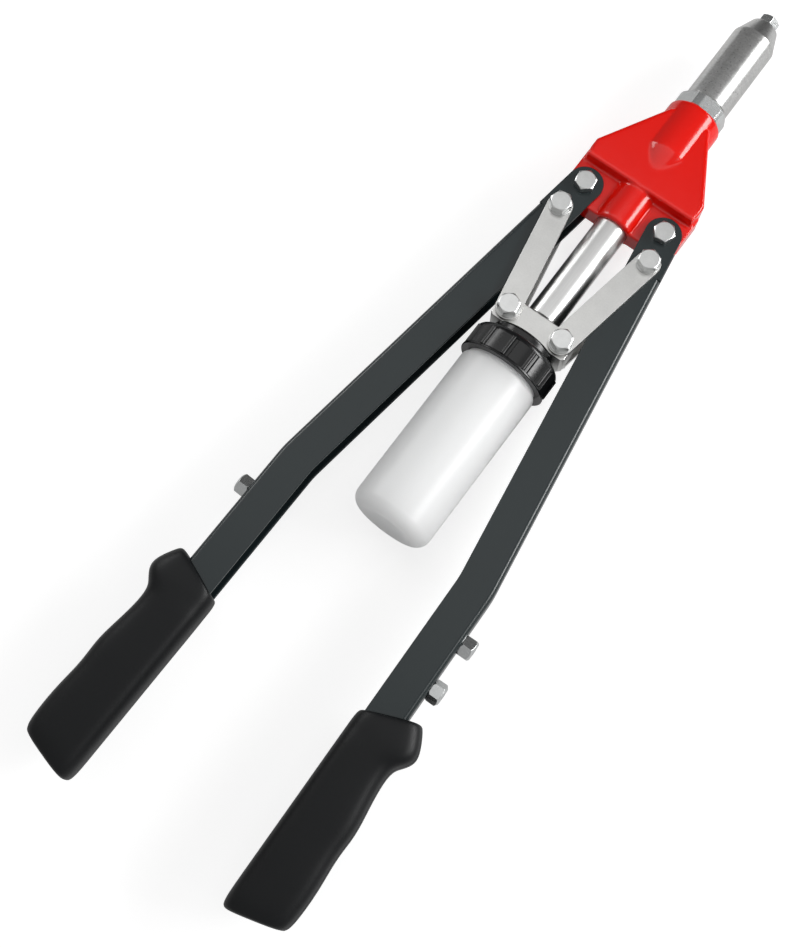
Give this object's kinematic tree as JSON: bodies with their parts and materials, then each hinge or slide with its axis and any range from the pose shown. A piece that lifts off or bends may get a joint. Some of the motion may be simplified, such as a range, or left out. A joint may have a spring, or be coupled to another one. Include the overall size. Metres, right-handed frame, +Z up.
{
  "type": "lever hand riveter",
  "caption": "Two-handed long-arm setting tool for blind rivets: two channel arms with grips pull a sliding tube and jaws through links; a screw-on bottle catches the spent mandrels.",
  "frame": {"origin": "centre of the fitted nosepiece's front face, on the tool's axis", "axes": "+Y leaves the nose along the axis, +X to the right with the tool lying face up, +Z up through the raised plate"},
  "size_m": [0.1542, 0.5177, 0.049],
  "materials": {
    "red_enamel": "gloss enamel on die-cast metal",
    "dark_paint": "satin slate-grey paint on folded sheet steel",
    "zinc_plate": "bright zinc plating",
    "turned_steel": "turned steel, fine rings",
    "polished_steel": "ground steel tube",
    "nickel_steel": "plated steel",
    "black_moulding": "moulded black plastic, satin",
    "grip_moulding": "moulded black plastic, fine grain",
    "milky_plastic": "translucent white blow-moulded plastic",
    "hardened_steel": "hardened steel, dark"
  },
  "bodies": {
    "head": {"head_casting": "red_enamel", "lock_nut": "nickel_steel", "barrel": "turned_steel", "nosepiece": "nickel_steel", "arm_bolts": "zinc_plate", "arm_nuts": "zinc_plate"},
    "left_arm": {"left_arm": "dark_paint", "left_grip": "grip_moulding", "left_spare_nosepiece": "nickel_steel", "left_link_bolt": "zinc_plate", "left_link_washers": "zinc_plate", "left_link_nut": "zinc_plate"},
    "right_arm": {"right_arm": "dark_paint", "right_grip": "grip_moulding", "right_spare_nosepieces": "nickel_steel", "right_link_bolt": "zinc_plate", "right_link_washers": "zinc_plate", "right_link_nut": "zinc_plate"},
    "puller": {"pull_tube": "polished_steel", "yoke": "zinc_plate", "collar": "black_moulding", "yoke_bolts": "zinc_plate", "yoke_washers": "zinc_plate", "yoke_nuts": "zinc_plate", "jaw_carrier": "hardened_steel", "jaw_spring": "hardened_steel", "bottle_cap": "black_moulding"},
    "left_links": {"left_front_link": "zinc_plate", "left_back_link": "zinc_plate"},
    "right_links": {"right_front_link": "zinc_plate", "right_back_link": "zinc_plate"},
    "jaws": {"jaws": "hardened_steel", "jaw_pusher": "hardened_steel"},
    "bottle": {"bottle": "milky_plastic"}
  },
  "joints": [
    {"name": "left_arm_swing", "type": "hinge", "parent": "head", "child": "left_arm", "pos_m": [-0.0234, -0.138, 0], "axis": [0, 0, -1], "range_deg": [-2, 45]},
    {"name": "right_arm_swing", "type": "hinge", "parent": "head", "child": "right_arm", "pos_m": [0.0234, -0.138, 0], "axis": [0, 0, 1], "range_deg": [-2, 45]},
    {"name": "puller_slide", "type": "slide", "parent": "head", "child": "puller", "axis": [0, 1, 0], "range_m": [-0.0005, 0.01]},
    {"name": "left_links_swing", "type": "hinge", "parent": "puller", "child": "left_links", "pos_m": [-0.0155, -0.21546, 0], "axis": [0, 0, 1], "range_deg": [-0.6, 12.7]},
    {"name": "right_links_swing", "type": "hinge", "parent": "puller", "child": "right_links", "pos_m": [0.0155, -0.21546, 0], "axis": [0, 0, -1], "range_deg": [-0.6, 12.7]},
    {"name": "jaw_slide", "type": "slide", "parent": "puller", "child": "jaws", "axis": [0, -1, 0], "range_m": [0, 0.003], "deforming": ["jaw_spring"]},
    {"name": "bottle_turn", "type": "hinge", "parent": "puller", "child": "bottle", "pos_m": [0, -0.288, 0], "axis": [0, -1, 0], "range_deg": [0, 540]}
  ],
  "couplings": [
    {"joint": "right_arm_swing", "follows": "left_arm_swing", "ratio": 1},
    {"joint": "puller_slide", "follows": "left_arm_swing", "m_per_rad": 0.0126},
    {"joint": "left_links_swing", "follows": "left_arm_swing", "ratio": 0.28},
    {"joint": "right_links_swing", "follows": "left_arm_swing", "ratio": 0.28}
  ]
}
